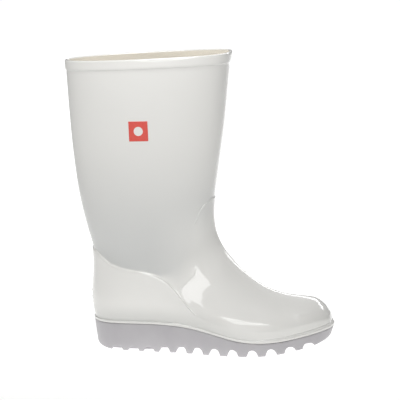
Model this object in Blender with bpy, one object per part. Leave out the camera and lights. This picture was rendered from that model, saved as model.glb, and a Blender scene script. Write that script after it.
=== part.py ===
"""Rubber boot for the right foot: a hollow moulded upper, a lugged outsole and a loose insole.

The toe points along +X, the wearer's left (the inner side of the foot) is +Y and the floor is Z = 0.
Sizes are in millimetres and become metres where a mesh is made.
"""
from collections import namedtuple

import bmesh
import bpy
import numpy as np

MM = 0.001

# Driving dimensions of the foot and the sole
LENGTH = 302.0
HEEL_STATION = 38.0
HEEL_ROUNDNESS = 2.15
TOE_ROUNDNESS = 2.2
TOE_SWING = 6.0
SOLE_GAP = 0.3

# Wall and relief of the upper
WALL = 2.4
LIP_REACH = 3.0
LIP_HEIGHT = 3.2
LIP_ROUNDING = 0.5
SWELL = 2.0
SWELL_HEIGHT = 10.0
SHOULDER_SHARE = 0.45
COUNTER_STEP = 1.2
VAMP_STEP = 0.9
FOXING_STEP = 0.4
BAND_STEP = 1.1
COUNTER_LEDGE = 1.6
SHIN_LEDGE = 1.6
BAND_LEDGE = 0.7
RIM_ROUNDING = 1.0
RIM_CROWN = 0.2
COUNTER_FADE = (108.0, 136.0)
VAMP_FADE = (126.0, 141.0)

# Place where the foot's sections give way to the shaft's
BLEND_LOW = 48.0
BLEND_HIGH = 132.0
BLEND_STATION = 80.0
BLEND_TILT = 0.6
INSTEP_SLOPE = 1.15
INSTEP_TURN = 164.0

# Outsole and insole
SOLE_INSET = 0.7
SOLE_DRAFT = 3.4
SOLE_CHAMFER = 1.6
GAP_PLACES = [34.6, 55.3, 74.6, 94.6, 115.8, 136.4, 157.7, 180.2, 204.8, 227.8, 250.9, 272.4]
GAP_HALF_WIDTH = 6.8
GAP_REACH = 60.0
GAP_LOW = 6.4
GAP_HIGH = 9.4
GAP_RISE = (60.0, 110.0)
GAP_FALL = (215.0, 275.0)
SPINE_HALF_WIDTH = 13.0
HEEL_SPINE_HALF_WIDTH = 24.0
HEEL_SPINE_END = (72.0, 104.0)
INSOLE_THICKNESS = 4.0
INSOLE_CLEARANCE = 1.4

# Fineness of the meshes
SIDE_STEPS = 30
SOLE_STEPS = 44
INSOLE_STEPS = 40
GAP_SEGMENTS = 20
EDGE_STEPS = 600
SHARP_ANGLE = 35.0

# Side view of the upper: its back edge and its front edge, each from the sole to the collar
Edge = namedtuple("Edge", "x z")
BACK_EDGE = [
    Edge(3.0, 36.0), Edge(0.5, 45.0), Edge(-1.8, 59.0), Edge(-0.6, 84.0), Edge(0.4, 110.0), Edge(-1.0, 125.0),
    Edge(-7.5, 149.0), Edge(-16.0, 184.0), Edge(-25.5, 251.0), Edge(-30.0, 305.0), Edge(-33.5, 359.0),
]
FRONT_EDGE = [
    Edge(298.4, 36.0), Edge(296.8, 45.0), Edge(293.9, 51.5), Edge(290.0, 57.2), Edge(284.7, 62.2),
    Edge(278.6, 65.6), Edge(270.5, 67.2), Edge(258.0, 68.0), Edge(244.0, 69.4), Edge(222.0, 75.6),
    Edge(201.0, 88.4), Edge(176.0, 110.0), Edge(159.5, 131.5), Edge(151.0, 153.0), Edge(150.5, 176.0),
    Edge(154.5, 213.0), Edge(163.0, 276.0), Edge(171.5, 372.0),
]

# Plan and sections of the foot: half widths to the outer and inner side, heights of the feather line and of
# the tread, height of the side wall up to the shoulder of the vamp, and how square the section over that is
Station = namedtuple("Station", "x lateral medial feather tread shoulder section")
STATIONS = [
    Station(0.0, 39.0, 37.0, 35.3, 7.0, 0.0, 2.2),
    Station(12.0, 39.0, 37.0, 35.6, 2.6, 0.0, 2.2),
    Station(22.0, 39.2, 37.2, 35.8, 1.0, 0.0, 2.2),
    Station(38.0, 39.5, 37.5, 36.0, 0.0, 0.0, 2.1),
    Station(85.0, 41.8, 35.5, 36.9, 0.0, 0.0, 1.85),
    Station(115.0, 44.6, 35.0, 35.7, 0.6, 0.0, 1.56),
    Station(136.0, 46.8, 38.2, 32.7, 0.3, 0.0, 1.46),
    Station(150.0, 48.2, 40.6, 29.6, 0.0, 4.0, 1.46),
    Station(165.0, 49.5, 43.5, 25.6, 0.0, 15.0, 1.46),
    Station(185.0, 50.6, 48.5, 20.9, 0.0, 21.0, 1.44),
    Station(205.0, 50.8, 52.0, 18.8, 0.4, 23.5, 1.44),
    Station(236.0, 50.8, 52.5, 20.9, 3.9, 24.5, 1.48),
    Station(260.0, 50.8, 52.5, 25.4, 8.6, 21.0, 1.66),
    Station(281.0, 50.8, 52.5, 29.4, 13.4, 11.0, 2.05),
    Station(302.0, 50.8, 52.5, 33.2, 22.0, 4.0, 2.3),
]
BALL_LATERAL = 200.0
BALL_MEDIAL = 212.0

# Shaft: half width by height, and how blunt its section is towards the calf and towards the shin
Girth = namedtuple("Girth", "z half_width calf shin")
SHAFT = [
    Girth(40.0, 38.6, 2.2, 2.2), Girth(64.0, 39.6, 2.2, 2.2), Girth(96.0, 38.6, 2.2, 2.2),
    Girth(128.0, 37.6, 2.2, 2.2), Girth(165.0, 39.2, 2.2, 2.2), Girth(205.0, 42.4, 2.2, 2.3),
    Girth(250.0, 44.8, 2.15, 2.5), Girth(300.0, 45.5, 2.1, 2.7), Girth(372.0, 44.0, 2.1, 3.2),
]

# Lines over the upper that rings follow, from the back edge to the front edge
COUNTER_LINE = [
    Edge(-1.6, 125.8), Edge(14.0, 115.6), Edge(27.0, 107.4), Edge(40.0, 103.8), Edge(54.0, 101.8),
    Edge(69.0, 100.5), Edge(84.0, 97.2), Edge(95.0, 92.0), Edge(104.0, 84.8), Edge(110.0, 78.0), Edge(117.0, 66.8),
    Edge(124.0, 57.5), Edge(136.0, 49.0), Edge(165.0, 41.5), Edge(185.0, 36.6), Edge(205.0, 35.0),
    Edge(236.0, 37.2), Edge(275.0, 44.0), Edge(294.6, 48.0),
]
SHIN_LINE = [
    Edge(-20.5, 214.0), Edge(0.0, 205.0), Edge(50.0, 182.0), Edge(95.0, 162.0), Edge(122.0, 154.0),
    Edge(129.0, 157.5), Edge(132.6, 165.5), Edge(136.4, 176.5), Edge(142.0, 184.5), Edge(151.8, 191.0),
]
BAND_LINE = [Edge(-32.7, 347.0), Edge(170.4, 359.3)]
RIM_LINE = [Edge(-33.5, 359.0), Edge(171.5, 372.0)]

# Rings from one line to the next: how many, how they crowd towards the lower line at the front, and how far a
# ring's points lean forward at the lower and at the upper line
Stretch = namedtuple("Stretch", "rings crowding lean_low lean_high")
STRETCHES = [
    Stretch(5, 1.0, 0.0, 0.0), Stretch(13, 1.2, 0.0, 0.22), Stretch(9, 1.0, 0.22, 0.2), Stretch(1, 1.0, 0.2, 0.2),
]

COLOURS = {"upper": "E4E4E0", "outsole": "B1B0B2", "insole": "D9CFBE"}
ROUGHNESS = {"upper": 0.28, "outsole": 0.5, "insole": 0.9}


def smooth_step(value, low, high):
    """Ease from 0 at low to 1 at high."""
    part = np.clip((np.asarray(value, float) - low) / (high - low), 0.0, 1.0)
    return part * part * (3.0 - 2.0 * part)


def smooth_curve(places, heights):
    """Cubic curve through the rows of a table, with no bump between level rows."""
    places = np.array(places, float)
    heights = np.array(heights, float)
    width = np.diff(places)
    rise = np.diff(heights) / width
    slope = np.zeros_like(heights)
    same_way = rise[:-1] * rise[1:] > 0.0
    mean = 2.0 * rise[:-1] * rise[1:] / np.where(same_way, rise[:-1] + rise[1:], 1.0)
    slope[1:-1] = np.where(same_way, mean, 0.0)
    slope[0] = rise[0]
    slope[-1] = rise[-1]

    def value(place):
        place = np.clip(np.asarray(place, float), places[0], places[-1])
        cell = np.clip(np.searchsorted(places, place, side="right") - 1, 0, len(width) - 1)
        part = (place - places[cell]) / width[cell]
        start = heights[cell] * (1.0 + 2.0 * part) + slope[cell] * width[cell] * part
        end = heights[cell + 1] * (3.0 - 2.0 * part) - slope[cell + 1] * width[cell] * (1.0 - part)
        return start * (1.0 - part) ** 2 + end * part ** 2

    return value


def column(table, name):
    """One named column of a table."""
    return [getattr(row, name) for row in table]


def fine_edge(table):
    """Finely sampled smooth curve through the points of an edge, with its running length."""
    points = np.array(table, float)
    chord = np.concatenate([[0.0], np.cumsum(np.hypot(*np.diff(points, axis=0).T))])
    tangent = np.gradient(points, chord, axis=0)
    at = np.linspace(0.0, chord[-1], EDGE_STEPS)
    cell = np.clip(np.searchsorted(chord, at, side="right") - 1, 0, len(chord) - 2)
    width = (chord[cell + 1] - chord[cell])[:, None]
    part = ((at - chord[cell])[:, None]) / width
    start = points[cell] * (1.0 + 2.0 * part) + tangent[cell] * width * part
    end = points[cell + 1] * (3.0 - 2.0 * part) - tangent[cell + 1] * width * (1.0 - part)
    curve = start * (1.0 - part) ** 2 + end * part ** 2
    length = np.concatenate([[0.0], np.cumsum(np.hypot(*np.diff(curve, axis=0).T))])
    return curve[:, 0], curve[:, 1], length


BACK_X, BACK_Z, _ = fine_edge(BACK_EDGE)
FRONT_X, FRONT_Z, FRONT_LENGTH = fine_edge(FRONT_EDGE)
THROAT = int(np.argmin(FRONT_X))

feather = smooth_curve(column(STATIONS, "x"), column(STATIONS, "feather"))
tread = smooth_curve(column(STATIONS, "x"), column(STATIONS, "tread"))
shoulder = smooth_curve(column(STATIONS, "x"), column(STATIONS, "shoulder"))
section = smooth_curve(column(STATIONS, "x"), column(STATIONS, "section"))
shaft_width = smooth_curve(column(SHAFT, "z"), column(SHAFT, "half_width"))
calf_bluntness = smooth_curve(column(SHAFT, "z"), column(SHAFT, "calf"))
shin_bluntness = smooth_curve(column(SHAFT, "z"), column(SHAFT, "shin"))
half_width = {
    "lateral": smooth_curve(column(STATIONS, "x"), column(STATIONS, "lateral")),
    "medial": smooth_curve(column(STATIONS, "x"), column(STATIONS, "medial")),
}
ball_station = {"lateral": BALL_LATERAL, "medial": BALL_MEDIAL}
side_sign = {"lateral": -1.0, "medial": 1.0}


def back_x(z):
    """Place of the back edge at a height."""
    return np.interp(z, BACK_Z, BACK_X)


def front_x(z):
    """Place of the front edge at a height."""
    return np.interp(z, FRONT_Z, FRONT_X)


def ridge_z(x):
    """Height of the ridge over the foot; behind the throat it runs on along the slope of the instep."""
    over_foot = np.interp(np.maximum(x, INSTEP_TURN), FRONT_X[THROAT::-1], FRONT_Z[THROAT::-1])
    return over_foot + np.maximum(INSTEP_TURN - x, 0.0) * INSTEP_SLOPE


def centre_y(x):
    """Inward swing of the toe."""
    return TOE_SWING * np.clip((x - BALL_LATERAL) / (LENGTH - BALL_LATERAL), 0.0, 1.0) ** 2


def plan(x, side, inset, heel_x, toe_x):
    """Half width of the foot's plan, drawn in by an inset, with a round heel and toe."""
    half = half_width[side](x) - inset
    ball = ball_station[side]
    to_heel = np.clip((HEEL_STATION - x) / (HEEL_STATION - heel_x), 0.0, 1.0)
    to_toe = np.clip((x - ball) / (toe_x - ball), 0.0, 1.0)
    heel_part = (1.0 - to_heel ** HEEL_ROUNDNESS) ** (1.0 / HEEL_ROUNDNESS)
    toe_part = (1.0 - to_toe ** TOE_ROUNDNESS) ** (1.0 / TOE_ROUNDNESS)
    return half * heel_part * toe_part


def upper_half_width(x, z, side):
    """Half width of the upper's outer face at a point of its side view."""
    above = np.maximum(z - feather(x), 0.0)
    swell = SWELL * (1.0 - np.exp(-above / SWELL_HEIGHT))
    rise = ridge_z(x) - feather(x)
    wall = np.minimum(shoulder(x), SHOULDER_SHARE * rise)
    over = np.clip((above - wall) / (rise - wall), 0.0, 1.0)
    power = section(x)
    arch = (1.0 - over ** power) ** (1.0 / power)
    foot = plan(x, side, LIP_REACH - swell, back_x(z), LENGTH - LIP_REACH) * arch
    along = np.clip(2.0 * (x - back_x(z)) / (front_x(z) - back_x(z)) - 1.0, -1.0, 1.0)
    bluntness = np.where(along < 0.0, calf_bluntness(z), shin_bluntness(z))
    shaft = shaft_width(z) * (1.0 - np.abs(along) ** bluntness) ** (1.0 / bluntness)
    height = z - BLEND_TILT * np.maximum(x - BLEND_STATION, 0.0)
    share = smooth_step(height, BLEND_LOW, BLEND_HIGH)
    return foot * (1.0 - share) + shaft * share


def spaced(steps):
    """Fractions from 0 to 1 that crowd at both ends, where the plan turns."""
    return 0.5 - 0.5 * np.cos(np.pi * np.arange(steps + 1) / steps)


def ring(x, z, half):
    """Closed ring from the heel along the outer side to the toe and back along the inner side."""
    outer = np.column_stack([x, centre_y(x) - half["lateral"], z])
    inner = np.column_stack([x, centre_y(x) + half["medial"], z])
    return np.vstack([outer, inner[-2:0:-1]])


def plan_ring(inset, height, steps):
    """Ring that follows the plan drawn in by an inset, at a height given by a function of x."""
    x = inset + (LENGTH - 2.0 * inset) * spaced(steps)
    half = {side: plan(x, side, inset, inset, LENGTH - inset) for side in side_sign}
    return ring(x, height(x), half)


def feather_line():
    """The upper's lower edge, just clear of the sole."""
    x = LIP_REACH + (LENGTH - 2.0 * LIP_REACH) * np.linspace(0.0, 1.0, SIDE_STEPS + 1)
    return [Edge(place, height) for place, height in zip(x, feather(x) + SOLE_GAP)]


def line_points(line, fraction):
    """Points of a line over the upper at fractions of its length along X."""
    x = np.array(column(line, "x"))
    place = x[0] + (x[-1] - x[0]) * fraction
    return np.column_stack([place, smooth_curve(x, column(line, "z"))(place)])


def between_lines(low_line, high_line, stretch, part):
    """Side view of one ring between two lines, drawn to the back edge and the front edge at its ends."""
    even = spaced(SIDE_STEPS)
    low = line_points(low_line, even + stretch.lean_low * 4.0 * even * (1.0 - even))
    high = line_points(high_line, even + stretch.lean_high * 4.0 * even * (1.0 - even))
    flat = low * (1.0 - part) + high * part
    back_height = flat[0, 1]
    low_length, high_length = np.interp([low[-1, 1], high[-1, 1]], FRONT_Z, FRONT_LENGTH)
    length = low_length + (high_length - low_length) * part ** stretch.crowding
    to_back = np.array([back_x(back_height), back_height]) - flat[0]
    front_point = [np.interp(length, FRONT_LENGTH, edge) for edge in (FRONT_X, FRONT_Z)]
    to_front = np.array(front_point) - flat[-1]
    return flat + np.outer(1.0 - even, to_back) + np.outer(even ** 2, to_front)


def upper_rings():
    """Rings of the upper's plain outer face, and the numbers of the rings that lie on a line."""
    lines = [feather_line(), COUNTER_LINE, SHIN_LINE, BAND_LINE, RIM_LINE]
    rings = []
    on_line = []
    for number, stretch in enumerate(STRETCHES):
        on_line.append(len(rings))
        last = number == len(STRETCHES) - 1
        for step in range(stretch.rings + last):
            side_view = between_lines(lines[number], lines[number + 1], stretch, step / stretch.rings)
            x, z = side_view.T
            half = {side: upper_half_width(x, z, side) for side in side_sign}
            rings.append(ring(x, z, half))
    on_line.append(len(rings) - 1)
    return np.array(rings), on_line


def surface_directions(rings):
    """Unit normals and unit upward tangents of a grid of rings."""
    along = np.roll(rings, -1, axis=1) - np.roll(rings, 1, axis=1)
    up = np.gradient(rings, axis=0)
    up = up / np.linalg.norm(up, axis=2, keepdims=True)
    normal = np.cross(along, up)
    return normal / np.linalg.norm(normal, axis=2, keepdims=True), up


def relief(zone, x):
    """How far the outer face is raised between one line and the next, by place along the foot."""
    if zone == 0:
        front = VAMP_STEP + FOXING_STEP
        return COUNTER_STEP + (front - COUNTER_STEP) * smooth_step(x, *COUNTER_FADE)
    if zone == 1:
        return VAMP_STEP * smooth_step(x, *VAMP_FADE)
    if zone == 2:
        return np.zeros_like(x)
    return np.full_like(x, BAND_STEP)


def upper_skin():
    """All rings of the upper in order: up the outer face, over the rim and down the inner face."""
    rings, on_line = upper_rings()
    normal, up = surface_directions(rings)
    bottom, top = on_line[0], on_line[-1]
    ledges = [COUNTER_LEDGE, SHIN_LEDGE, BAND_LEDGE]

    def raised(number, zone, lift=0.0):
        height = relief(zone, rings[number][:, 0])[:, None]
        return rings[number] + normal[number] * height + up[number] * lift

    under_lip = plan_ring(0.0, lambda x: feather(x) + SOLE_GAP, SIDE_STEPS)
    lip_edge = plan_ring(0.0, lambda x: feather(x) + SOLE_GAP + LIP_HEIGHT - LIP_ROUNDING, SIDE_STEPS)
    lip_top = plan_ring(LIP_ROUNDING, lambda x: feather(x) + SOLE_GAP + LIP_HEIGHT, SIDE_STEPS)
    skin = [under_lip, lip_edge, lip_top, raised(bottom, 0, LIP_HEIGHT + LIP_ROUNDING)]
    for number in range(bottom + 1, top):
        zone = sum(number > line for line in on_line[1:-1])
        skin.append(raised(number, zone))
        if number in on_line:
            skin.append(raised(number, zone + 1, ledges[zone]))
    skin.append(raised(top, len(STRETCHES) - 1, -RIM_ROUNDING))
    skin.append(rings[top] + normal[top] * (BAND_STEP - RIM_ROUNDING) + up[top] * RIM_CROWN)
    skin.append(rings[top] - normal[top] * (WALL - RIM_ROUNDING) + up[top] * RIM_CROWN)
    inner_rows = [top] + [number for number in range(top - 1, bottom, -1) if number % 2 == 0] + [bottom]
    for number in inner_rows:
        inside = rings[number] - normal[number] * WALL
        if number == top:
            inside = inside - up[top] * RIM_ROUNDING
        if number == bottom:
            inside[:, 2] = rings[bottom][:, 2]
        skin.append(inside)
    return skin


def insole_rings():
    """Footbed that lies on the sole inside the upper's wall."""
    inset = LIP_REACH + WALL + INSOLE_CLEARANCE
    low = plan_ring(inset, lambda x: feather(x) + SOLE_GAP, INSOLE_STEPS)
    high = plan_ring(inset, lambda x: feather(x) + SOLE_GAP + INSOLE_THICKNESS, INSOLE_STEPS)
    return [low, high]


def outsole_rings():
    """Wedge of the sole, drawn in towards the floor, with a small chamfer under its edge."""
    low = plan_ring(SOLE_INSET + SOLE_DRAFT + SOLE_CHAMFER, tread, SOLE_STEPS)
    turn = plan_ring(SOLE_INSET + SOLE_DRAFT, lambda x: tread(x) + SOLE_CHAMFER, SOLE_STEPS)
    high = plan_ring(SOLE_INSET, feather, SOLE_STEPS)
    return [low, turn, high]


def mesh_of_rings(name, rings, joined):
    """Mesh from a stack of rings: joined end to end as a tube, or closed by a strip of faces at each end."""
    bm = bmesh.new()
    rows = [[bm.verts.new(point * MM) for point in row] for row in rings]
    count = len(rows[0])
    pairs = list(zip(rows, rows[1:]))
    if joined:
        pairs.append((rows[-1], rows[0]))
    for low, high in pairs:
        for place in range(count):
            following = (place + 1) % count
            bm.faces.new((low[place], low[following], high[following], high[place]))
    if not joined:
        for row, upward in ((rows[0], False), (rows[-1], True)):
            for place in range(count // 2):
                across = [row[place], row[place + 1], row[-place - 1], row[-place]]
                if place == 0:
                    across = [row[0], row[1], row[-1]]
                if place == count // 2 - 1:
                    across = [row[place], row[place + 1], row[-place]]
                bm.faces.new(across if upward else across[::-1])
    bmesh.ops.triangulate(bm, faces=bm.faces, quad_method="SHORT_EDGE")
    mesh = bpy.data.meshes.new(name)
    bm.to_mesh(mesh)
    bm.free()
    mesh.shade_smooth()
    mesh.set_sharp_from_angle(angle=np.radians(SHARP_ANGLE))
    return mesh


def gap_depth(x):
    """Height of the arch over a gap: low at the heel and the toe, high under the middle of the foot."""
    rise = smooth_step(x, *GAP_RISE) * (1.0 - smooth_step(x, *GAP_FALL))
    return GAP_LOW + (GAP_HIGH - GAP_LOW) * rise


def spine_half_width(x):
    """Half width of the spine that the gaps stop at: broad under the heel."""
    return HEEL_SPINE_HALF_WIDTH + (SPINE_HALF_WIDTH - HEEL_SPINE_HALF_WIDTH) * smooth_step(x, *HEEL_SPINE_END)


def gap_cutter_mesh():
    """Elliptical tunnels that reach in from both edges of the sole to its spine."""
    bm = bmesh.new()
    for place in GAP_PLACES:
        for side in side_sign.values():
            made = bmesh.ops.create_cone(
                bm, cap_ends=True, segments=GAP_SEGMENTS, radius1=1.0, radius2=1.0, depth=1.0)
            for vert in made["verts"]:
                across, up, out = vert.co
                x = place - side * across * GAP_HALF_WIDTH
                y = centre_y(place) + side * (spine_half_width(place) + (out + 0.5) * GAP_REACH)
                z = tread(place) + up * gap_depth(place)
                vert.co = (x * MM, y * MM, z * MM)
    mesh = bpy.data.meshes.new("lug_gaps")
    bm.to_mesh(mesh)
    bm.free()
    return mesh


def linear(part):
    """Linear light value of one sRGB channel."""
    return part / 12.92 if part <= 0.04045 else ((part + 0.055) / 1.055) ** 2.4


def moulded_material(name):
    """Principled material with the piece's own colour and roughness."""
    material = bpy.data.materials.new(name)
    material.use_nodes = True
    shader = material.node_tree.nodes["Principled BSDF"]
    channels = [int(COLOURS[name][place:place + 2], 16) / 255.0 for place in (0, 2, 4)]
    shader.inputs["Base Color"].default_value = [linear(part) for part in channels] + [1.0]
    shader.inputs["Roughness"].default_value = ROUGHNESS[name]
    shader.inputs["Metallic"].default_value = 0.0
    return material


def add_object(name, mesh, collection, parent):
    """Named object in a collection, under the boot's empty."""
    item = bpy.data.objects.new(name, mesh)
    collection.objects.link(item)
    item.parent = parent
    return item


def main():
    for item in list(bpy.data.objects):
        bpy.data.objects.remove(item, do_unlink=True)
    scene = bpy.context.scene
    boot = bpy.data.collections.new("rubber_boot")
    cutters = bpy.data.collections.new("cutters")
    scene.collection.children.link(boot)
    scene.collection.children.link(cutters)

    skin = upper_skin()
    meshes = {
        "upper": mesh_of_rings("upper", skin, True),
        "outsole": mesh_of_rings("outsole", outsole_rings(), False),
        "insole": mesh_of_rings("insole", insole_rings(), False),
    }
    every_point = np.vstack(skin)
    middle = (every_point.min(axis=0) + every_point.max(axis=0)) / 2.0
    root = bpy.data.objects.new("boot_root", None)
    boot.objects.link(root)
    root.location = (-middle[0] * MM, -middle[1] * MM, 0.0)

    pieces = {name: add_object(name, mesh, boot, root) for name, mesh in meshes.items()}
    for name, piece in pieces.items():
        piece.data.materials.append(moulded_material(name))
    gaps = add_object("lug_gaps", gap_cutter_mesh(), cutters, root)
    gaps.hide_render = True
    gaps.display_type = "WIRE"
    cut = pieces["outsole"].modifiers.new("lug gaps", "BOOLEAN")
    cut.operation = "DIFFERENCE"
    cut.solver = "EXACT"
    cut.object = gaps


main()
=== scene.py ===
# %% [markdown]
# # A white rubber boot
#
# This lesson dresses a knee-high PVC boot for the right foot. The solids of the boot are already made: a
# hollow upper, a lugged outsole and a loose insole. They are loaded as a fixed frame, in metres, with the
# toe along +X, the inner side of the foot along +Y and the floor at Z = 0. Each cell makes one piece or one
# finish. Places on the boot are given in millimetres, counted from the back of the heel and from the floor.
# So are the widths and rises of small forms and the sizes of patterns. Values that go straight into Blender,
# such as lifts, bevels and the heights of bumps, are in metres.

# %% Load the frame
import math
from collections import namedtuple

import bmesh
import bpy
import numpy as np
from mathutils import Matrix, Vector
from mathutils.bvhtree import BVHTree


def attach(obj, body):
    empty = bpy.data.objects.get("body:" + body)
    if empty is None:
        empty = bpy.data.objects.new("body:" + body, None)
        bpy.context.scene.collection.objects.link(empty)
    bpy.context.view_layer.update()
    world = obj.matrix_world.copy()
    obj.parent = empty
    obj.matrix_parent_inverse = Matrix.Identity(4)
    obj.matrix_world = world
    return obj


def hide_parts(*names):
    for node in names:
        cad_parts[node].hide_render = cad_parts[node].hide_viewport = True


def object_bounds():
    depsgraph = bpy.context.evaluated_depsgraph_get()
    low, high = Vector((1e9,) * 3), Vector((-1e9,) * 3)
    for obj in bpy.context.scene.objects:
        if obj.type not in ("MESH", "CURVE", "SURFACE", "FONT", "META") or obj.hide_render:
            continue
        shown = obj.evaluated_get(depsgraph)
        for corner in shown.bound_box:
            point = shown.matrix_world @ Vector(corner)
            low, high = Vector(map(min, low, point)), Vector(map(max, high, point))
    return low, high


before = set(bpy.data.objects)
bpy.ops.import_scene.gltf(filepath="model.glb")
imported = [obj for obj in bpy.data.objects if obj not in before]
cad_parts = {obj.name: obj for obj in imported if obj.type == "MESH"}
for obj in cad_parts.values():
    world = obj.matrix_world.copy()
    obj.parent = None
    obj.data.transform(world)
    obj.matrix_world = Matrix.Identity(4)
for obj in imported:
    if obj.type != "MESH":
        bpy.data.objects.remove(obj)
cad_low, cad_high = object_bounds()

MM = 0.001
FOOT_LENGTH = 302.0
heel_x = cad_high.x - FOOT_LENGTH * MM
print("frame:", sorted(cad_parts), [round(side / MM, 1) for side in cad_high - cad_low], "mm")

# %% [markdown]
# ## Camera
#
# A long lens far away keeps the boot's proportions, as in a catalogue picture. The camera looks at the outer
# side of the boot, a little from the front and a little from above. Its distance and focal length were worked
# out from the sizes of the boot in the picture's own frame, which is 400 pixels wide, so the lens is given as
# a focal length in pixels. Nothing is shifted, because the aim point does that job.

# %% Camera
PHOTO_WIDTH = 400.0
FOCAL_PIXELS = 1818.0
SENSOR_WIDTH = 36.0
CAMERA_AZIMUTH = 8.0
CAMERA_ELEVATION = 11.0
CAMERA_DISTANCE = 2.25
AIM = Vector((-0.0002, 0.0, 0.1867))


def direction(azimuth, elevation):
    """Unit vector from the boot towards a place round it: azimuth 0 is the outer side, 90 the toe."""
    turn = math.radians(azimuth)
    rise = math.radians(elevation)
    return Vector((math.sin(turn) * math.cos(rise), -math.cos(turn) * math.cos(rise), math.sin(rise)))


def linked(item):
    """Put an object into the scene."""
    bpy.context.scene.collection.objects.link(item)
    return item


def aimed(item, place, target):
    """Put an object at a place and turn its -Z axis to a target."""
    item.location = place
    item.rotation_euler = (target - place).to_track_quat("-Z", "Y").to_euler()
    return item


lens = bpy.data.cameras.new("camera")
lens.sensor_width = SENSOR_WIDTH
lens.lens = FOCAL_PIXELS / PHOTO_WIDTH * SENSOR_WIDTH
camera = linked(bpy.data.objects.new("camera", lens))
aimed(camera, AIM + direction(CAMERA_AZIMUTH, CAMERA_ELEVATION) * CAMERA_DISTANCE, AIM)
bpy.context.scene.camera = camera
print("camera: lens", round(lens.lens, 1), "mm at", CAMERA_DISTANCE, "m")

# %% [markdown]
# ## Copies of the solids
#
# Each large piece starts as a copy of a solid's mesh, which comes as loose triangles. They are joined along
# their edges and paired into quads, because a Subdivision Surface runs smoothly along rows of quads and
# leaves ripples on triangles. The same few helpers copy, smooth and count every piece below.

# %% Helpers for the pieces
MERGE_DISTANCE = 0.00001
GRID_INFLUENCE = 1.2


def merged_copy(node):
    """Bmesh of a solid's triangles, joined along their edges and paired into rows of quads."""
    bm = bmesh.new()
    bm.from_mesh(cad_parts[node].data)
    bmesh.ops.remove_doubles(bm, verts=bm.verts, dist=MERGE_DISTANCE)
    bmesh.ops.join_triangles(
        bm, faces=bm.faces, angle_face_threshold=math.pi, angle_shape_threshold=math.pi,
        topology_influence=GRID_INFLUENCE)
    return bm


def piece_of(bm, name):
    """Object with the bmesh as its mesh, shaded smooth."""
    mesh = bpy.data.meshes.new(name)
    bm.to_mesh(mesh)
    bm.free()
    mesh.shade_smooth()
    return linked(bpy.data.objects.new(name, mesh))


def smoothed(piece, levels):
    """Add a Subdivision Surface that renders as it shows."""
    rounding = piece.modifiers.new("smooth", "SUBSURF")
    rounding.levels = levels
    rounding.render_levels = levels
    return piece


def settle(piece):
    """Replace a piece's mesh by what its modifiers make of it."""
    graph = bpy.context.evaluated_depsgraph_get()
    mesh = bpy.data.meshes.new_from_object(piece.evaluated_get(graph))
    piece.modifiers.clear()
    piece.data = mesh
    return piece


def triangles(piece):
    """Number of triangles in a piece's mesh."""
    piece.data.calc_loop_triangles()
    return len(piece.data.loop_triangles)


upper_cage = merged_copy("upper")
quads = sum(len(face.verts) == 4 for face in upper_cage.faces)
print("upper cage:", len(upper_cage.faces), "faces,", quads, "of them quads")

# %% [markdown]
# ## The moulded shell
#
# The upper is one injection moulding, so it has no cut edges: every step in its wall is a small round. The
# solid already has the true shape, but it is made of flat facets. One could add a Bevel to every edge, but
# the facets would stay. A Subdivision Surface smooths facets and edges together, and a crease weight on the
# sharp edges keeps the ledges of the counter, the shin, the collar band and the welt lip tight.

# %% Smooth copy of the upper
LEDGE_ANGLES = (math.radians(12.0), math.radians(45.0))
LEDGE_CREASE = 0.6
WALL_LEVELS = 2


def smooth_step(value, low, high):
    """Ease from 0 at low to 1 at high."""
    part = np.clip((value - low) / (high - low), 0.0, 1.0)
    return part * part * (3.0 - 2.0 * part)


def creased(bm):
    """Give every edge a crease weight that grows with its angle."""
    weight = bm.edges.layers.float.new("crease_edge")
    for edge in bm.edges:
        edge[weight] = LEDGE_CREASE * smooth_step(edge.calc_face_angle(0.0), *LEDGE_ANGLES)


creased(upper_cage)
inner_source = upper_cage.copy()
shell = settle(smoothed(piece_of(upper_cage, "boot_shell"), WALL_LEVELS))
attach(shell, "root")
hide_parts("upper")
print("shell:", triangles(shell), "triangles")

# %% [markdown]
# ## Places on the shell
#
# Small forms on the wall are drawn as lines in the side view of the boot. One could pick vertices by their
# numbers, but those change as soon as the mesh does. These helpers turn points into the side view and measure
# how far each of them lies from a drawn line. A line works on both sides of the boot at once.

# %% Side view


def points_of(mesh):
    """Places and normals of a mesh's points as two arrays."""
    places = np.empty(len(mesh.vertices) * 3)
    normals = np.empty(len(mesh.vertices) * 3)
    mesh.vertices.foreach_get("co", places)
    mesh.vertex_normals.foreach_get("vector", normals)
    return places.reshape(-1, 3), normals.reshape(-1, 3)


def side_view(places):
    """Millimetres from the back of the heel and from the floor."""
    return np.stack([(places[:, 0] - heel_x) / MM, places[:, 2] / MM], axis=1)


def distance_to(line, view):
    """Distance in millimetres from a chain of points in the side view."""
    nearest = np.full(len(view), np.inf)
    for start, end in zip(np.array(line[:-1]), np.array(line[1:])):
        along = end - start
        share = np.clip((view - start) @ along / (along @ along), 0.0, 1.0)
        nearest = np.minimum(nearest, np.linalg.norm(view - start - share[:, None] * along, axis=1))
    return nearest


def on_outside(places, normals):
    """True for points of the outer face: their normals lead away from the boot's middle plane."""
    return normals[:, 1] * places[:, 1] > 0.0


shell_view = side_view(points_of(shell.data)[0])
print("side view: from", shell_view.min(axis=0).round(1), "to", shell_view.max(axis=0).round(1), "mm")

# %% [markdown]
# ## Soft shoulder of the vamp
#
# Along the forefoot the wall stands up from the sole and then turns over to the top of the vamp. On the real
# boot that turn is a soft round, which carries one long bright streak. The solid turns more sharply. A Bevel
# needs an edge to work on, and there is none, so the points near the turn are averaged with their neighbours
# many times.

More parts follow.
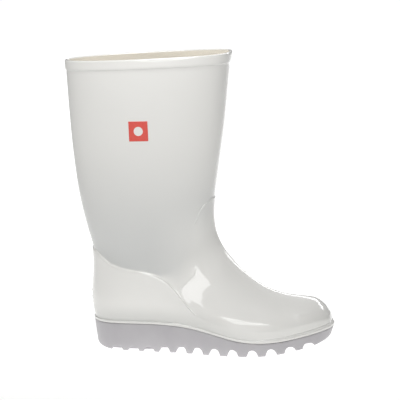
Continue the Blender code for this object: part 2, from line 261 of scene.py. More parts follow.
# %% Soften the shoulder
VAMP_SHOULDER = [(165.4, 51.8), (179.7, 47.5), (195.7, 44.5), (211.6, 44.9), (226.1, 46.1), (250.0, 46.0)]
SHOULDER_REACH = 11.0
SHOULDER_PASSES = 30
SHOULDER_SHARE = 0.5


def soften(piece, line, reach, passes):
    """Round the turn of a wall along a line of the side view, and count the points near it."""
    bm = bmesh.new()
    bm.from_mesh(piece.data)
    near = distance_to(line, side_view(np.array([vert.co for vert in bm.verts]))) < reach
    chosen = [vert for vert, is_near in zip(bm.verts, near) if is_near]
    for _ in range(passes):
        bmesh.ops.smooth_vert(
            bm, verts=chosen, factor=SHOULDER_SHARE, use_axis_x=True, use_axis_y=True, use_axis_z=True)
    bm.to_mesh(piece.data)
    bm.free()
    return len(chosen)


softened = soften(shell, VAMP_SHOULDER, SHOULDER_REACH, SHOULDER_PASSES)
print("shoulder:", softened, "points rounded in", SHOULDER_PASSES, "passes")

# %% [markdown]
# ## A finer mesh for fine relief
#
# The mould leaves a fine groove where the vamp panel ends, a fine raised arc on the shin, and two short
# kick-off ribs at the back of the heel. They are a millimetre or two wide, finer than the faces of the shell.
# One more level of subdivision would cut the whole boot finer, so only the faces near these lines are cut.

# %% Cut the mesh finer
VAMP_EDGE_UP = [(113.7, 80.5), (119.8, 86.9), (125.5, 92.4), (131.7, 98.1), (134.2, 108.0)]
VAMP_EDGE_DOWN = [(113.7, 80.5), (117.1, 73.0), (120.8, 65.9), (123.3, 60.9)]
SHIN_ARC = [(131.0, 161.0), (132.6, 165.5), (136.4, 176.5), (142.0, 184.5), (151.8, 191.0)]
RIB_HEIGHTS = (62.0, 70.0)
RIB_HALF_LENGTH = 14.0
RIB_FRONT = 12.0
RIB_MARGIN = 1.2
RELIEF_REACH = 3.0
FINE_CUTS = 3


def near_fine_relief(places):
    """True for places that need a finer mesh."""
    view = side_view(places)
    lines = (VAMP_EDGE_UP, VAMP_EDGE_DOWN, SHIN_ARC)
    near_line = np.min([distance_to(line, view) for line in lines], axis=0) < RELIEF_REACH
    tall = (view[:, 1] > RIB_HEIGHTS[0] - RELIEF_REACH) & (view[:, 1] < RIB_HEIGHTS[1] + RELIEF_REACH)
    wide = np.abs(places[:, 1]) < RIB_HALF_LENGTH * MM * RIB_MARGIN
    return near_line | (tall & wide & (view[:, 0] < RIB_FRONT))


def refine(piece, is_near):
    """Cut the mesh finer near the relief, on a curved surface, and count the faces that were chosen."""
    bm = bmesh.new()
    bm.from_mesh(piece.data)
    faces = list(bm.faces)
    near = is_near(np.array([face.calc_center_median() for face in faces]))
    edges = {edge for face, chosen in zip(faces, near) if chosen for edge in face.edges}
    bmesh.ops.subdivide_edges(
        bm, edges=list(edges), cuts=FINE_CUTS, smooth=1.0, smooth_falloff="LINEAR", use_grid_fill=True)
    bm.to_mesh(piece.data)
    bm.free()
    piece.data.shade_smooth()
    return int(near.sum())


refined = refine(shell, near_fine_relief)
print("finer mesh:", refined, "faces cut,", triangles(shell), "triangles")

# %% [markdown]
# ## Groove, arc, ribs and soft folds
#
# Besides its fine lines, the wall has soft hollows and swells, which the warm PVC takes as it comes off its
# last. All of this is too fine for the solid and too plain to see for a bump map, so the points of the outer
# face are moved along their normals, by a rounded profile that fades with the distance from each line.

# %% Move the points
VAMP_GROOVE_DEPTH = 0.26
VAMP_GROOVE_HALF_WIDTH = 0.8
VAMP_GROOVE_FADE = (98.0, 109.0)
SHIN_BEAD_RISE = 0.5
SHIN_BEAD_HALF_WIDTH = 1.2
RIB_RISE = 0.9
RIB_HALF_HEIGHT = 1.7

Fold = namedtuple("Fold", "name line rise half_width")
FOLDS = [
    Fold("hollow over the counter", [(16.0, 132.0), (44.0, 118.0)], -0.5, 13.0),
    Fold("ankle trough", [(60.0, 138.0), (100.0, 122.0)], -0.35, 16.0),
    Fold("throat trough", [(112.0, 140.0), (140.0, 124.0)], -0.3, 14.0),
    Fold("flex over the ball", [(186.0, 92.0), (205.0, 54.0)], -0.2, 11.0),
    Fold("instep swell", [(140.0, 108.0), (158.0, 104.0)], 0.9, 14.0),
    Fold("vamp shoulder", VAMP_SHOULDER, 0.3, 5.6),
]


def rib_shape(places, normals):
    """Rise of the kick-off ribs in millimetres at each point."""
    view = side_view(places)
    across = np.clip(1.0 - (places[:, 1] / MM / RIB_HALF_LENGTH) ** 4, 0.0, 1.0)
    rise = np.zeros(len(places))
    for height in RIB_HEIGHTS:
        part = np.clip(np.abs(view[:, 1] - height) / RIB_HALF_HEIGHT, 0.0, 1.0)
        rise += RIB_RISE * np.cos(0.5 * np.pi * part) ** 2
    return rise * across * ((view[:, 0] < RIB_FRONT) & (normals[:, 0] < 0.0))


places, normals = points_of(shell.data)
view = side_view(places)
edge_distance = np.minimum(distance_to(VAMP_EDGE_UP, view), distance_to(VAMP_EDGE_DOWN, view))
move = -VAMP_GROOVE_DEPTH * np.exp(-(edge_distance / VAMP_GROOVE_HALF_WIDTH) ** 2)
move *= 1.0 - smooth_step(view[:, 1], *VAMP_GROOVE_FADE)
move += SHIN_BEAD_RISE * np.exp(-(distance_to(SHIN_ARC, view) / SHIN_BEAD_HALF_WIDTH) ** 2)
for fold in FOLDS:
    move += fold.rise * np.exp(-(distance_to(fold.line, view) / fold.half_width) ** 2)
move = np.where(on_outside(places, normals), move, 0.0) + rib_shape(places, normals)
shell.data.vertices.foreach_set("co", (places + normals * move[:, None] * MM).ravel())
shell.data.update()
print("folds:", [fold.name for fold in FOLDS])
print("relief: from", round(move.min(), 2), "to", round(move.max(), 2), "mm")

# %% [markdown]
# ## Knitted lining
#
# The PVC is moulded over a knitted sock, which shows at the collar as a warm off-white. The lining is a thin
# layer on the inner wall, so it is taken from there: starting at one face of the inner wall, neighbours are
# gathered as long as the surface bends gently, which stops at the rim and at the open underside. A UV map in
# millimetres runs round the leg and up it, so that the rows of knitting follow the wall.

# %% Lining
GENTLE_BEND = math.radians(33.0)
LINING_LIFT = 0.0002
LEG_MIDDLE = Vector((-0.065, 0.0, 0.28))
LEG_RADIUS = 75.0
TO_INNER_SIDE = Vector((0.0, 1.0, 0.0))


def gathered(seed, bend):
    """Faces that can be reached from a seed without crossing a sharp edge."""
    found = {seed}
    waiting = [seed]
    while waiting:
        face = waiting.pop()
        for edge in face.edges:
            if edge.calc_face_angle(math.pi) > bend:
                continue
            for other in edge.link_faces:
                if other not in found:
                    found.add(other)
                    waiting.append(other)
    return found


def wrap_round_leg(bm):
    """UV map in millimetres: along the leg's girth and up its height."""
    layer = bm.loops.layers.uv.new("knit")
    for face in bm.faces:
        middle = face.calc_center_median() - LEG_MIDDLE
        turn = math.atan2(middle.y, middle.x)
        for loop in face.loops:
            spoke = loop.vert.co - LEG_MIDDLE
            angle = math.atan2(spoke.y, spoke.x)
            angle += 2.0 * math.pi * round((turn - angle) / (2.0 * math.pi))
            loop[layer].uv = (angle * LEG_RADIUS, loop.vert.co.z / MM)


inner_source.normal_update()
inner_source.faces.ensure_lookup_table()
_, _, wall_face, _ = BVHTree.FromBMesh(inner_source).ray_cast(LEG_MIDDLE, TO_INNER_SIDE)
inside = gathered(inner_source.faces[wall_face], GENTLE_BEND)
outside = [face for face in inner_source.faces if face not in inside]
print("lining:", len(inside), "faces inside,", len(outside), "outside")
bmesh.ops.delete(inner_source, geom=outside, context="FACES")
inner_source.normal_update()
for vert in inner_source.verts:
    vert.co += vert.normal * LINING_LIFT
wrap_round_leg(inner_source)
lining = smoothed(piece_of(inner_source, "knit_lining"), WALL_LEVELS)
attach(lining, "root")

# %% [markdown]
# ## The moulded sole
#
# The grey sole is a second shot of PVC. Its lugs come out of a steel mould, so their edges are all slightly
# round. A Bevel would trip over the many small faces where the gaps were cut, so the copy is remeshed in
# small cubes and smoothed, which rounds every edge by about a millimetre and keeps the lugs' shape.

# %% Sole
SOLE_VOXEL = 0.0011
SOLE_PASSES = 3
SOLE_SHARE = 0.5

sole = piece_of(merged_copy("outsole"), "moulded_sole")
blocks = sole.modifiers.new("blocks", "REMESH")
blocks.mode = "VOXEL"
blocks.voxel_size = SOLE_VOXEL
evening = sole.modifiers.new("evening", "SMOOTH")
evening.factor = SOLE_SHARE
evening.iterations = SOLE_PASSES
settle(sole)
sole.data.shade_smooth()
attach(sole, "root")
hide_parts("outsole")
print("sole:", triangles(sole), "triangles")

# %% [markdown]
# ## The footbed
#
# A loose insole lies inside, a felt of about four millimetres that is cut with a knife. Its edge is a little
# worn round, so the copy of its solid gets a narrow bevel along its upper and lower rims.

# %% Footbed
FOOTBED_EDGE = math.radians(50.0)
FOOTBED_ROUND = 0.0011

footbed_cage = merged_copy("insole")
rims = [edge for edge in footbed_cage.edges if edge.calc_face_angle(0.0) > FOOTBED_EDGE]
bmesh.ops.bevel(
    footbed_cage, geom=rims, offset=FOOTBED_ROUND, segments=3, profile=0.5, affect="EDGES", material=-1)
footbed = piece_of(footbed_cage, "footbed")
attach(footbed, "root")
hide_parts("insole")
print("footbed:", len(rims), "rim edges rounded,", triangles(footbed), "triangles")

# %% [markdown]
# ## The red patch
#
# A square of red ink, about 24 mm wide, is printed on the outer side of the shaft. It is left plain, with
# only a round white gap in its middle. A print has almost no height, so a fine grid is laid on the shell by
# casting rays at it and lifted by a tenth of a millimetre, which keeps it on the curve of the shaft.

# %% Patch
PATCH_X = 64.6
PATCH_Z = 278.1
PATCH_WIDTH = 23.6
PATCH_HEIGHT = 24.4
PATCH_ROLL = math.radians(2.5)
PATCH_SEGMENTS = 28
PATCH_LIFT = 0.00012
PATCH_SINK = 0.0004
RAY_RUN_UP = 0.1

patch_bm = bmesh.new()
patch_uv = patch_bm.loops.layers.uv.new("print")
bmesh.ops.create_grid(patch_bm, x_segments=PATCH_SEGMENTS, y_segments=PATCH_SEGMENTS, size=0.5)
for face in patch_bm.faces:
    for loop in face.loops:
        loop[patch_uv].uv = (loop.vert.co.x * PATCH_WIDTH, loop.vert.co.y * PATCH_HEIGHT)
shell_tree = BVHTree.FromObject(shell, bpy.context.evaluated_depsgraph_get())
cos_roll = math.cos(PATCH_ROLL)
sin_roll = math.sin(PATCH_ROLL)
for vert in patch_bm.verts:
    across = vert.co.x * PATCH_WIDTH * MM
    upward = vert.co.y * PATCH_HEIGHT * MM
    x = heel_x + PATCH_X * MM + across * cos_roll - upward * sin_roll
    z = PATCH_Z * MM + across * sin_roll + upward * cos_roll
    hit, normal, _, _ = shell_tree.ray_cast(Vector((x, cad_low.y - RAY_RUN_UP, z)), TO_INNER_SIDE)
    vert.co = hit + normal * PATCH_LIFT
patch_bm.normal_update()
bmesh.ops.solidify(patch_bm, geom=patch_bm.faces[:], thickness=PATCH_SINK)
bmesh.ops.recalc_face_normals(patch_bm, faces=patch_bm.faces)
patch = piece_of(patch_bm, "red_patch")
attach(patch, "root")
print("patch:", triangles(patch), "triangles")

# %% [markdown]
# ## Ways to make a finish
#
# Every finish below is a small tree of nodes on one Principled shader. Colours are written as the sRGB hex
# values that one would pick from a colour chart, and patterns by their real size in millimetres. One short
# function adds a node, sets it and links it, so that a finish reads from top to bottom.

# %% Helpers for the finishes


def colour(code):
    """Linear colour of an sRGB hex value."""
    channels = [int(code[place:place + 2], 16) / 255.0 for place in (0, 2, 4)]
    linear = [part / 12.92 if part <= 0.04045 else ((part + 0.055) / 1.055) ** 2.4 for part in channels]
    return (*linear, 1.0)


def per_mm(size):
    """Texture scale that makes a pattern's cell this many millimetres wide."""
    return 1.0 / (size * MM)


def add(tree, kind, inputs, **settings):
    """Add a node: settings by name, inputs by name or number, as values or as sockets to link."""
    made = tree.nodes.new(kind)
    for name, value in settings.items():
        setattr(made, name, value)
    for name, value in inputs.items():
        if isinstance(value, bpy.types.NodeSocket):
            tree.links.new(value, made.inputs[name])
        else:
            made.inputs[name].default_value = value
    return made


def finish_named(name):
    """New material with an empty node tree."""
    material = bpy.data.materials.new(name)
    material.use_nodes = True
    material.node_tree.nodes.clear()
    return material, material.node_tree


def wear(piece, material):
    """Give a piece one finish."""
    piece.data.materials.clear()
    piece.data.materials.append(material)
    print("finish of", piece.name, "is", material.name)


PURE_WHITE = colour("FFFFFF")
print("white in linear light:", PURE_WHITE)

# %% [markdown]
# ## Painted shade round the ankle
#
# The white is painted greyer along the leg and most of all round the ankle: a painted shade. The band, the
# counter and the foot stay white. One could give each zone a material of its own, but the boot is one
# moulding. So the amount of painted shade is kept as an attribute on the shell, worked out from lines in the
# side view, and the white finish reads it.

# %% Painted shade of the shell
COUNTER_EDGE = [
    (-2.0, 126.0), (14.0, 115.6), (27.0, 107.4), (40.0, 103.8), (54.0, 101.8), (69.0, 100.5), (84.0, 97.2),
    (95.0, 92.0), (104.0, 84.8), (113.7, 80.5), (160.0, 110.0)]
BAND_EDGE = [(-32.7, 347.0), (170.4, 359.3)]
LEDGE_BLEND = (1.2, 3.6)
THROAT_BLEND = 50.0
THROAT_FRONT = (84.0, 130.0)
LEG_SHADE = 0.1
ANKLE_TOP = (110.0, 280.0)
INSTEP_FRONT = (70.0, 165.0)
INSTEP_TOP = (140.0, 200.0)


def height_over(line, x, z):
    """Height in millimetres over a line of the side view."""
    return z - np.interp(x, *np.array(line).T)


def store(piece, name, values):
    """Keep one number for each point of a piece."""
    layer = piece.data.attributes.new(name, "FLOAT", "POINT")
    layer.data.foreach_set("value", values)
    print("attribute", name, "on", len(values), "points, mean", round(float(values.mean()), 3))


def ankle_shade_of(x, z):
    """Painted shade: 1 at the ankle, less along the leg and 0 on the band and the foot."""
    blend = LEDGE_BLEND[1] + THROAT_BLEND * smooth_step(x, *THROAT_FRONT)
    over_counter = smooth_step(height_over(COUNTER_EDGE, x, z), LEDGE_BLEND[0], blend)
    under_band = 1.0 - smooth_step(height_over(BAND_EDGE, x, z), *LEDGE_BLEND)
    instep = smooth_step(x, *INSTEP_FRONT) * (1.0 - smooth_step(z, *INSTEP_TOP))
    ankle = 1.0 - smooth_step(z, *ANKLE_TOP)
    return over_counter * under_band * (1.0 - instep) * (LEG_SHADE + (1.0 - LEG_SHADE) * ankle)


shell_x, shell_z = side_view(points_of(shell.data)[0]).T
# Painted shade round the ankle, kept as one number for each point.
store(shell, "ankle_shade", ankle_shade_of(shell_x, shell_z))

# %% [markdown]
# ## Painted shade over the welt
#
# The white is painted greyer in the corner over the welt lip: a painted shade that darkens the wall towards
# the bottom. It fades up the wall and towards the toe. A noise would spread it anywhere, so its amount is a
# second attribute, worked out from the height over the lip's line in the side view.

# %% Painted shade over the welt
WELT_EDGE = [
    (0.0, 38.6), (85.0, 40.2), (115.0, 39.0), (136.0, 36.0), (165.0, 28.9), (185.0, 24.2), (205.0, 22.1),
    (236.0, 24.2), (260.0, 28.7), (302.0, 40.0)]
SHADE_HEIGHT = 24.0
LIP_SHADE = 0.45
FOREFOOT = (140.0, 230.0)
FOREFOOT_FADE = 0.55


def welt_shade_of(x, z):
    """Painted shade: 1 in the corner over the welt lip, 0 from its full height up, less on the lip and the
    forefoot.
    """
    over_welt = height_over(WELT_EDGE, x, z)
    welt_shade = np.where(over_welt > 0.0, 1.0 - smooth_step(over_welt, 0.0, SHADE_HEIGHT), LIP_SHADE)
    return welt_shade * (1.0 - FOREFOOT_FADE * smooth_step(x, *FOREFOOT))


# Painted shade over the welt lip, kept as one number for each point.
store(shell, "welt_shade", welt_shade_of(shell_x, shell_z))

# %% [markdown]
# ## White PVC
#
# Soft PVC that was moulded against polished steel: a smooth, wet-looking gloss over a milky white. The gloss
# is a clear coat over a rougher base. Real mouldings are never quite flat, so a long soft waviness and a fine
# orange peel bend the reflections. Thin scuffs dull the base here and there. Painted shade turns the white
# greyer along the leg, round the ankle and in the corner over the welt.

# %% White PVC
WHITE_LIGHT = colour("F5F4F0")
WHITE_DEEP = colour("F1F0EC")
# Greys of the painted shade: round the ankle and over the welt lip.
WHITE_ANKLE_SHADE = colour("D2D3D1")
WHITE_WELT_SHADE = colour("DADAD6")
PVC_IOR = 1.53
GLOSS_IOR = 1.6
GLOSS_ROUGHNESS = 0.05
CLOUD_SIZE = 70.0
CLOUD_RANGE = (0.35, 0.65)
WHITE_ROUGHNESS = (0.38, 0.46)
SCUFF_LENGTH = 30.0
SCUFF_WIDTH = 0.9
SCUFF_TURN = (0.3, 0.5, 0.2)
SCUFF_RANGE = (0.62, 0.72)
SCUFF_DULLING = 0.08
WAVE_SIZE = 26.0
WAVE_HEIGHT = 0.00005
PEEL_SIZE = 1.4
PEEL_HEIGHT = 0.000004


def polished_white_pvc():
    """Moulded PVC with a wet-looking gloss over a milky white."""
    material, tree = finish_named("polished_white_pvc")
    place = add(tree, "ShaderNodeTexCoord", {}).outputs["Object"]
    cloud = add(tree, "ShaderNodeTexNoise", {"Vector": place, "Scale": per_mm(CLOUD_SIZE), "Detail": 3.0})
    tint = add(tree, "ShaderNodeMix", {
        0: cloud.outputs["Fac"], 6: WHITE_LIGHT, 7: WHITE_DEEP}, data_type="RGBA")
    # Painted shade round the ankle turns the white greyer.
    wall = add(tree, "ShaderNodeAttribute", {}, attribute_name="ankle_shade")
    milky = add(tree, "ShaderNodeMix", {
        0: wall.outputs["Fac"], 6: tint.outputs[2], 7: WHITE_ANKLE_SHADE}, data_type="RGBA")
    # Painted shade over the welt lip turns the white greyer towards the bottom.
    welt_shade = add(tree, "ShaderNodeAttribute", {}, attribute_name="welt_shade")
    white = add(tree, "ShaderNodeMix", {
        0: welt_shade.outputs["Fac"], 6: milky.outputs[2], 7: WHITE_WELT_SHADE}, data_type="RGBA")
    stretch = add(tree, "ShaderNodeMapping", {
        "Vector": place, "Rotation": SCUFF_TURN,
        "Scale": (per_mm(SCUFF_LENGTH), per_mm(SCUFF_WIDTH), per_mm(SCUFF_WIDTH))})
    scuff = add(tree, "ShaderNodeTexNoise", {"Vector": stretch.outputs[0], "Scale": 1.0, "Detail": 2.0})
    sparse = add(tree, "ShaderNodeMapRange", {
        0: scuff.outputs["Fac"], 1: SCUFF_RANGE[0], 2: SCUFF_RANGE[1], 3: 0.0, 4: SCUFF_DULLING})
    dull = add(tree, "ShaderNodeMapRange", {
        0: cloud.outputs["Fac"], 1: CLOUD_RANGE[0], 2: CLOUD_RANGE[1],
        3: WHITE_ROUGHNESS[0], 4: WHITE_ROUGHNESS[1]})
    rough = add(tree, "ShaderNodeMath", {0: dull.outputs[0], 1: sparse.outputs[0]}, operation="ADD")
    wave = add(tree, "ShaderNodeTexNoise", {"Vector": place, "Scale": per_mm(WAVE_SIZE), "Detail": 1.0})
    wavy = add(tree, "ShaderNodeBump", {
        "Height": wave.outputs["Fac"], "Distance": WAVE_HEIGHT, "Strength": 1.0})
    peel = add(tree, "ShaderNodeTexNoise", {"Vector": place, "Scale": per_mm(PEEL_SIZE), "Detail": 1.0})
    peeled = add(tree, "ShaderNodeBump", {
        "Height": peel.outputs["Fac"], "Distance": PEEL_HEIGHT, "Strength": 1.0, "Normal": wavy.outputs[0]})
    surface = add(tree, "ShaderNodeBsdfPrincipled", {
        "Base Color": white.outputs[2], "Roughness": rough.outputs[0], "IOR": PVC_IOR, "Coat Weight": 1.0,
        "Coat Roughness": GLOSS_ROUGHNESS, "Coat IOR": GLOSS_IOR, "Normal": peeled.outputs[0]})
    add(tree, "ShaderNodeOutputMaterial", {"Surface": surface.outputs[0]})
    return material


wear(shell, polished_white_pvc())

# %% [markdown]
# ## Grey PVC
#
# The sole's compound is harder and its mould is blasted, not polished, so it is a satin grey with a fine
# grit. The grit is drawn at about a millimetre, coarser than the real one, because nothing finer shows in the
# picture.

# %% Grey PVC
GREY_LIGHT = colour("C0BEC0")
GREY_DEEP = colour("B4B1B5")
GREY_CLOUD_SIZE = 22.0
GREY_CLOUD_RANGE = (0.3, 0.7)
GREY_ROUGHNESS = (0.34, 0.46)
GRIT_SIZE = 0.9
GRIT_HEIGHT = 0.00003


def satin_grey_pvc():
    """Moulded PVC with a satin grey face and a fine grit."""
    material, tree = finish_named("satin_grey_pvc")
    place = add(tree, "ShaderNodeTexCoord", {}).outputs["Object"]
    cloud = add(tree, "ShaderNodeTexNoise", {
        "Vector": place, "Scale": per_mm(GREY_CLOUD_SIZE), "Detail": 4.0})
    tint = add(tree, "ShaderNodeMix", {
        0: cloud.outputs["Fac"], 6: GREY_LIGHT, 7: GREY_DEEP}, data_type="RGBA")
    dull = add(tree, "ShaderNodeMapRange", {
        0: cloud.outputs["Fac"], 1: GREY_CLOUD_RANGE[0], 2: GREY_CLOUD_RANGE[1],
        3: GREY_ROUGHNESS[0], 4: GREY_ROUGHNESS[1]})
    grit = add(tree, "ShaderNodeTexNoise", {"Vector": place, "Scale": per_mm(GRIT_SIZE), "Detail": 2.0})
    blasted = add(tree, "ShaderNodeBump", {
        "Height": grit.outputs["Fac"], "Distance": GRIT_HEIGHT, "Strength": 1.0})
    surface = add(tree, "ShaderNodeBsdfPrincipled", {
        "Base Color": tint.outputs[2], "Roughness": dull.outputs[0], "IOR": PVC_IOR,
        "Normal": blasted.outputs[0]})
    add(tree, "ShaderNodeOutputMaterial", {"Surface": surface.outputs[0]})
    return material


wear(sole, satin_grey_pvc())

# %% [markdown]
# ## Knitted polyester
#
# The sock is knitted in a warm off-white yarn. Knitting shows as upright wales of little loops, so two waves
# are crossed on the lining's own UV map, one for the wales and one for the courses. The stitches are drawn at
# twice their real size so that they show. A soft sheen stands for the fuzz of the yarn.

# %% Knitted polyester
YARN_LIGHT = colour("FFFBF1")
YARN_DEEP = colour("F8F0E1")
YARN_ROUGHNESS = 0.9
YARN_FUZZ = 0.3
WALE_SIZE = 2.0
COURSE_SIZE = 1.6
LOOP_HEIGHT = 0.0003


def knitted_polyester():
    """Matt yarn in rows of small loops, with a soft fuzz."""
    material, tree = finish_named("knitted_polyester")
    thread = add(tree, "ShaderNodeUVMap", {}, uv_map="knit").outputs[0]
    parts = add(tree, "ShaderNodeSeparateXYZ", {0: thread})
    waves = []
    for part, size in zip(parts.outputs, (WALE_SIZE, COURSE_SIZE)):
        turns = add(tree, "ShaderNodeMath", {0: part, 1: 2.0 * math.pi / size}, operation="MULTIPLY")
        waves.append(add(tree, "ShaderNodeMath", {0: turns.outputs[0]}, operation="SINE"))
    loops = add(tree, "ShaderNodeMath", {
        0: waves[0].outputs[0], 1: waves[1].outputs[0]}, operation="MULTIPLY")
    height = add(tree, "ShaderNodeMapRange", {0: loops.outputs[0], 1: -1.0, 2: 1.0, 3: 0.0, 4: 1.0})
    tint = add(tree, "ShaderNodeMix", {
        0: height.outputs[0], 6: YARN_DEEP, 7: YARN_LIGHT}, data_type="RGBA")
    raised = add(tree, "ShaderNodeBump", {
        "Height": height.outputs[0], "Distance": LOOP_HEIGHT, "Strength": 1.0})
    surface = add(tree, "ShaderNodeBsdfPrincipled", {
        "Base Color": tint.outputs[2], "Roughness": YARN_ROUGHNESS, "Sheen Weight": YARN_FUZZ,
        "Sheen Roughness": 0.5, "Normal": raised.outputs[0]})
    add(tree, "ShaderNodeOutputMaterial", {"Surface": surface.outputs[0]})
    return material


wear(lining, knitted_polyester())

# %% [markdown]
# ## Needled felt
#
# The footbed is a felt of the same warm yarn: matt, with fibres that are matted together. A noise that is
# stretched along the fibres gives the strands, and a coarser one the uneven thickness.

# %% Needled felt
FELT_LIGHT = colour("DDD3C0")
FELT_DEEP = colour("BFB39C")
FELT_ROUGHNESS = 0.95
FELT_FUZZ = 0.25
FIBRE_SIZE = (6.0, 0.7, 1.5)
FIBRE_TURN = (0.0, 0.0, 0.6)
FIBRE_RANGE = (0.12, 0.42)
FIBRE_HEIGHT = 0.0004
UNEVEN_SIZE = 9.0


def needled_felt():
    """Matt felt of short strands, a little uneven."""
    material, tree = finish_named("needled_felt")
    place = add(tree, "ShaderNodeTexCoord", {}).outputs["Object"]
    fibres = add(tree, "ShaderNodeMapping", {
        "Vector": place, "Rotation": FIBRE_TURN, "Scale": [per_mm(size) for size in FIBRE_SIZE]})
    strands = add(tree, "ShaderNodeTexNoise", {"Vector": fibres.outputs[0], "Scale": 1.0, "Detail": 4.0})
    uneven = add(tree, "ShaderNodeTexNoise", {"Vector": place, "Scale": per_mm(UNEVEN_SIZE), "Detail": 3.0})
    both = add(tree, "ShaderNodeMath", {
        0: strands.outputs["Fac"], 1: uneven.outputs["Fac"]}, operation="MULTIPLY")
    spread = add(tree, "ShaderNodeMapRange", {
        0: both.outputs[0], 1: FIBRE_RANGE[0], 2: FIBRE_RANGE[1], 3: 0.0, 4: 1.0})
    tint = add(tree, "ShaderNodeMix", {
        0: spread.outputs[0], 6: FELT_DEEP, 7: FELT_LIGHT}, data_type="RGBA")
    raised = add(tree, "ShaderNodeBump", {
        "Height": spread.outputs[0], "Distance": FIBRE_HEIGHT, "Strength": 0.8})
    surface = add(tree, "ShaderNodeBsdfPrincipled", {
        "Base Color": tint.outputs[2], "Roughness": FELT_ROUGHNESS, "Sheen Weight": FELT_FUZZ,
        "Normal": raised.outputs[0]})
    add(tree, "ShaderNodeOutputMaterial", {"Surface": surface.outputs[0]})
    return material


wear(footbed, needled_felt())

# %% [markdown]
# ## Screen-printed red
#
# Red vinyl ink under the gloss of the boot. The white disc is a gap in the ink, drawn from the distance to
# the patch's middle on its own UV map, and the ink is a little thinner in places, as a screen leaves it.

# %% Screen-printed red
INK_RED = colour("E2463C")
INK_THIN = colour("E8665B")
INK_GAP = colour("F1EFEB")
INK_ROUGHNESS = 0.3
INK_IOR = 1.5
INK_GLOSS = 0.3
INK_GLOSS_ROUGHNESS = 0.1
INK_PATCH_SIZE = 2.5
INK_HEIGHT = 0.00002
DISC_RADIUS = 5.6
DISC_BLUR = 0.2


def screen_printed_red():
    """Thin red ink with a round gap, under a light gloss."""
    material, tree = finish_named("screen_printed_red")
    place = add(tree, "ShaderNodeUVMap", {}, uv_map="print").outputs[0]
    far = add(tree, "ShaderNodeVectorMath", {0: place}, operation="LENGTH")
    disc = add(tree, "ShaderNodeMapRange", {
        0: far.outputs["Value"], 1: DISC_RADIUS - DISC_BLUR, 2: DISC_RADIUS + DISC_BLUR, 3: 1.0, 4: 0.0})
    screen = add(tree, "ShaderNodeTexNoise", {"Vector": place, "Scale": 1.0 / INK_PATCH_SIZE, "Detail": 4.0})
    ink = add(tree, "ShaderNodeMix", {0: screen.outputs["Fac"], 6: INK_RED, 7: INK_THIN}, data_type="RGBA")
    printed = add(tree, "ShaderNodeMix", {
        0: disc.outputs[0], 6: ink.outputs[2], 7: INK_GAP}, data_type="RGBA")
    raised = add(tree, "ShaderNodeBump", {
        "Height": screen.outputs["Fac"], "Distance": INK_HEIGHT, "Strength": 1.0})
    surface = add(tree, "ShaderNodeBsdfPrincipled", {
        "Base Color": printed.outputs[2], "Roughness": INK_ROUGHNESS, "IOR": INK_IOR,
        "Coat Weight": INK_GLOSS, "Coat Roughness": INK_GLOSS_ROUGHNESS, "Normal": raised.outputs[0]})
    add(tree, "ShaderNodeOutputMaterial", {"Surface": surface.outputs[0]})
    return material


wear(patch, screen_printed_red())

# %% [markdown]
# ## Opal acrylic
#
# A catalogue picture is often taken on a light table: a sheet of opal acrylic that is lit from below, so
# that the ground is white between the lugs and there is almost no shadow. One could light paper from above,
# but the boot would then stand in its own shade. The lit part of the table lies behind the boot, at a slight
# turn to it, and grows wider with the distance. It fades to the sides and to the front, which lets the boot's
# edges turn a little darker. One more light under the sole keeps the gaps between the lugs bright.

# %% Opal acrylic
FLOOR_WHITE = colour("E4E4E3")
FLOOR_ROUGHNESS = 0.8
TABLE_GLOW = 0.74
FAR_GLOW = 0.2
GLOW_TURN = 0.14
GLOW_SPREAD = 0.115
GLOW_SIDE_FADE = (0.3, 0.75)
GLOW_FRONT_FADE = (-0.8, 0.45)
UNDER_GLOW = 0.3
UNDER_SIZE = (0.2, 0.066)
UNDER_FADE = (0.75, 1.1)


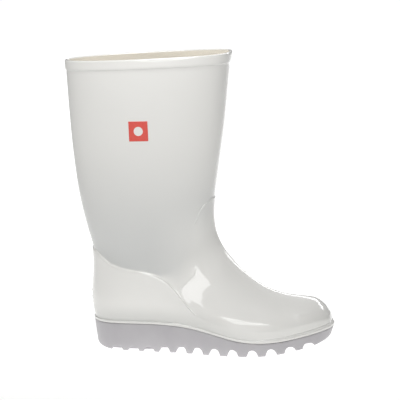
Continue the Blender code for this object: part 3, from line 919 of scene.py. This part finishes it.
def opal_acrylic():
    """White sheet that glows where the table is lit from below."""
    material, tree = finish_named("opal_acrylic")
    ground = add(tree, "ShaderNodeTexCoord", {}).outputs["Object"]
    spot = add(tree, "ShaderNodeSeparateXYZ", {0: ground})
    turned = add(tree, "ShaderNodeMath", {
        0: spot.outputs[1], 1: GLOW_TURN, 2: spot.outputs[0]}, operation="MULTIPLY_ADD")
    aside = add(tree, "ShaderNodeMath", {0: turned.outputs[0]}, operation="ABSOLUTE")
    outward = add(tree, "ShaderNodeMath", {
        0: spot.outputs[1], 1: -GLOW_SPREAD, 2: aside.outputs[0]}, operation="MULTIPLY_ADD")
    middle = add(tree, "ShaderNodeMapRange", {
        0: outward.outputs[0], 1: GLOW_SIDE_FADE[0], 2: GLOW_SIDE_FADE[1], 3: 1.0, 4: 0.0},
        interpolation_type="SMOOTHSTEP")
    behind = add(tree, "ShaderNodeMapRange", {
        0: spot.outputs[1], 1: GLOW_FRONT_FADE[0], 2: GLOW_FRONT_FADE[1], 3: 0.0, 4: 1.0},
        interpolation_type="SMOOTHSTEP")
    lit = add(tree, "ShaderNodeMath", {0: middle.outputs[0], 1: behind.outputs[0]}, operation="MULTIPLY")
    table = add(tree, "ShaderNodeMapRange", {0: lit.outputs[0], 1: 0.0, 2: 1.0, 3: FAR_GLOW, 4: TABLE_GLOW})
    oval = add(tree, "ShaderNodeMapping", {
        "Vector": ground, "Scale": (1.0 / UNDER_SIZE[0], 1.0 / UNDER_SIZE[1], 1.0)})
    beyond = add(tree, "ShaderNodeVectorMath", {0: oval.outputs[0]}, operation="LENGTH")
    under = add(tree, "ShaderNodeMapRange", {
        0: beyond.outputs["Value"], 1: UNDER_FADE[0], 2: UNDER_FADE[1], 3: UNDER_GLOW, 4: 0.0},
        interpolation_type="SMOOTHSTEP")
    glow = add(tree, "ShaderNodeMath", {0: table.outputs[0], 1: under.outputs[0]}, operation="ADD")
    surface = add(tree, "ShaderNodeBsdfPrincipled", {
        "Base Color": FLOOR_WHITE, "Roughness": FLOOR_ROUGHNESS, "Specular IOR Level": 0.0,
        "Emission Color": PURE_WHITE, "Emission Strength": glow.outputs[0]})
    add(tree, "ShaderNodeOutputMaterial", {"Surface": surface.outputs[0]})
    return material


table_top = opal_acrylic()
print("floor finish:", table_top.name, "with", len(table_top.node_tree.nodes), "nodes")

# %% [markdown]
# ## Floor
#
# The top of the light table is one large square at the height of the floor. It could be a box with a
# thickness, but only its upper face is ever seen. It belongs to the stage and not to the boot.

# %% Floor
FLOOR_SIZE = 24.0

floor_bm = bmesh.new()
bmesh.ops.create_grid(floor_bm, x_segments=1, y_segments=1, size=0.5 * FLOOR_SIZE)
floor = piece_of(floor_bm, "light_table")
wear(floor, table_top)
print("floor:", FLOOR_SIZE, "m wide")

# %% [markdown]
# ## Lamps
#
# Three softboxes light the boot. A large one, tilted, stands far in front of the outer side, and draws the
# glare on the ankle and the streak along the vamp. A small one hangs close in front of the collar and makes
# the shaft brighter at its top. A long one stands behind the boot and draws the thin bright line along the
# ridge of the instep. Each lamp is given by the brightness of its face, and its power follows from its size,
# so that its reflection stays as bright when the lamp is made larger.

# %% Lamps
Lamp = namedtuple("Lamp", "name target azimuth elevation roll distance width height brightness")
VAMP = Vector((0.055, -0.035, 0.1))
COLLAR = Vector((-0.06, -0.04, 0.32))
LAMPS = [
    Lamp("front_softbox", VAMP, -2.0, 12.5, 40.0, 8.0, 3.69, 1.82, 3.2),
    Lamp("key_softbox", COLLAR, -5.0, 57.0, 0.0, 0.6, 0.25, 0.5, 6.4),
    Lamp("back_softbox", VAMP, 161.0, 27.0, 0.0, 3.0, 3.2, 0.5, 4.4),
]


def softbox(row):
    """Area lamp of a given brightness, facing the boot."""
    light = bpy.data.lights.new(row.name, "AREA")
    light.shape = "RECTANGLE"
    light.size = row.width
    light.size_y = row.height
    light.energy = row.brightness * math.pi * row.width * row.height
    box = linked(bpy.data.objects.new(row.name, light))
    aimed(box, row.target + direction(row.azimuth, row.elevation) * row.distance, row.target)
    box.rotation_euler.rotate_axis("Z", math.radians(row.roll))
    print(row.name, "with", round(light.energy, 1), "W")


for row in LAMPS:
    softbox(row)

# %% [markdown]
# ## Room
#
# The rest of the studio is a soft grey that is brighter overhead and a little brighter behind the boot. The
# boot reflects it, so it is a gradient in the world and not a flat grey.

# %% Room
ROOM_SIDE = 0.11
ROOM_TOP = 0.45
ROOM_BACK = 0.15
ROOM_GATHER = 2.0

room = bpy.data.worlds.new("studio_room")
room.use_nodes = True
room_tree = room.node_tree
room_tree.nodes.clear()
sight = add(room_tree, "ShaderNodeTexCoord", {}).outputs["Generated"]
way = add(room_tree, "ShaderNodeSeparateXYZ", {0: sight})
level = ROOM_SIDE
for axis, strength in ((2, ROOM_TOP), (1, ROOM_BACK)):
    towards = add(room_tree, "ShaderNodeMath", {0: way.outputs[axis], 1: 0.0}, operation="MAXIMUM")
    share = add(room_tree, "ShaderNodeMath", {0: towards.outputs[0], 1: ROOM_GATHER}, operation="POWER")
    level = add(room_tree, "ShaderNodeMath", {
        0: share.outputs[0], 1: strength, 2: level}, operation="MULTIPLY_ADD").outputs[0]
ambient = add(room_tree, "ShaderNodeBackground", {"Color": PURE_WHITE, "Strength": level})
add(room_tree, "ShaderNodeOutputWorld", {"Surface": ambient.outputs[0]})
bpy.context.scene.world = room
bpy.context.scene.view_settings.view_transform = "Standard"
print("room: from", ROOM_SIDE, "at the sides to", ROOM_SIDE + ROOM_TOP, "overhead")
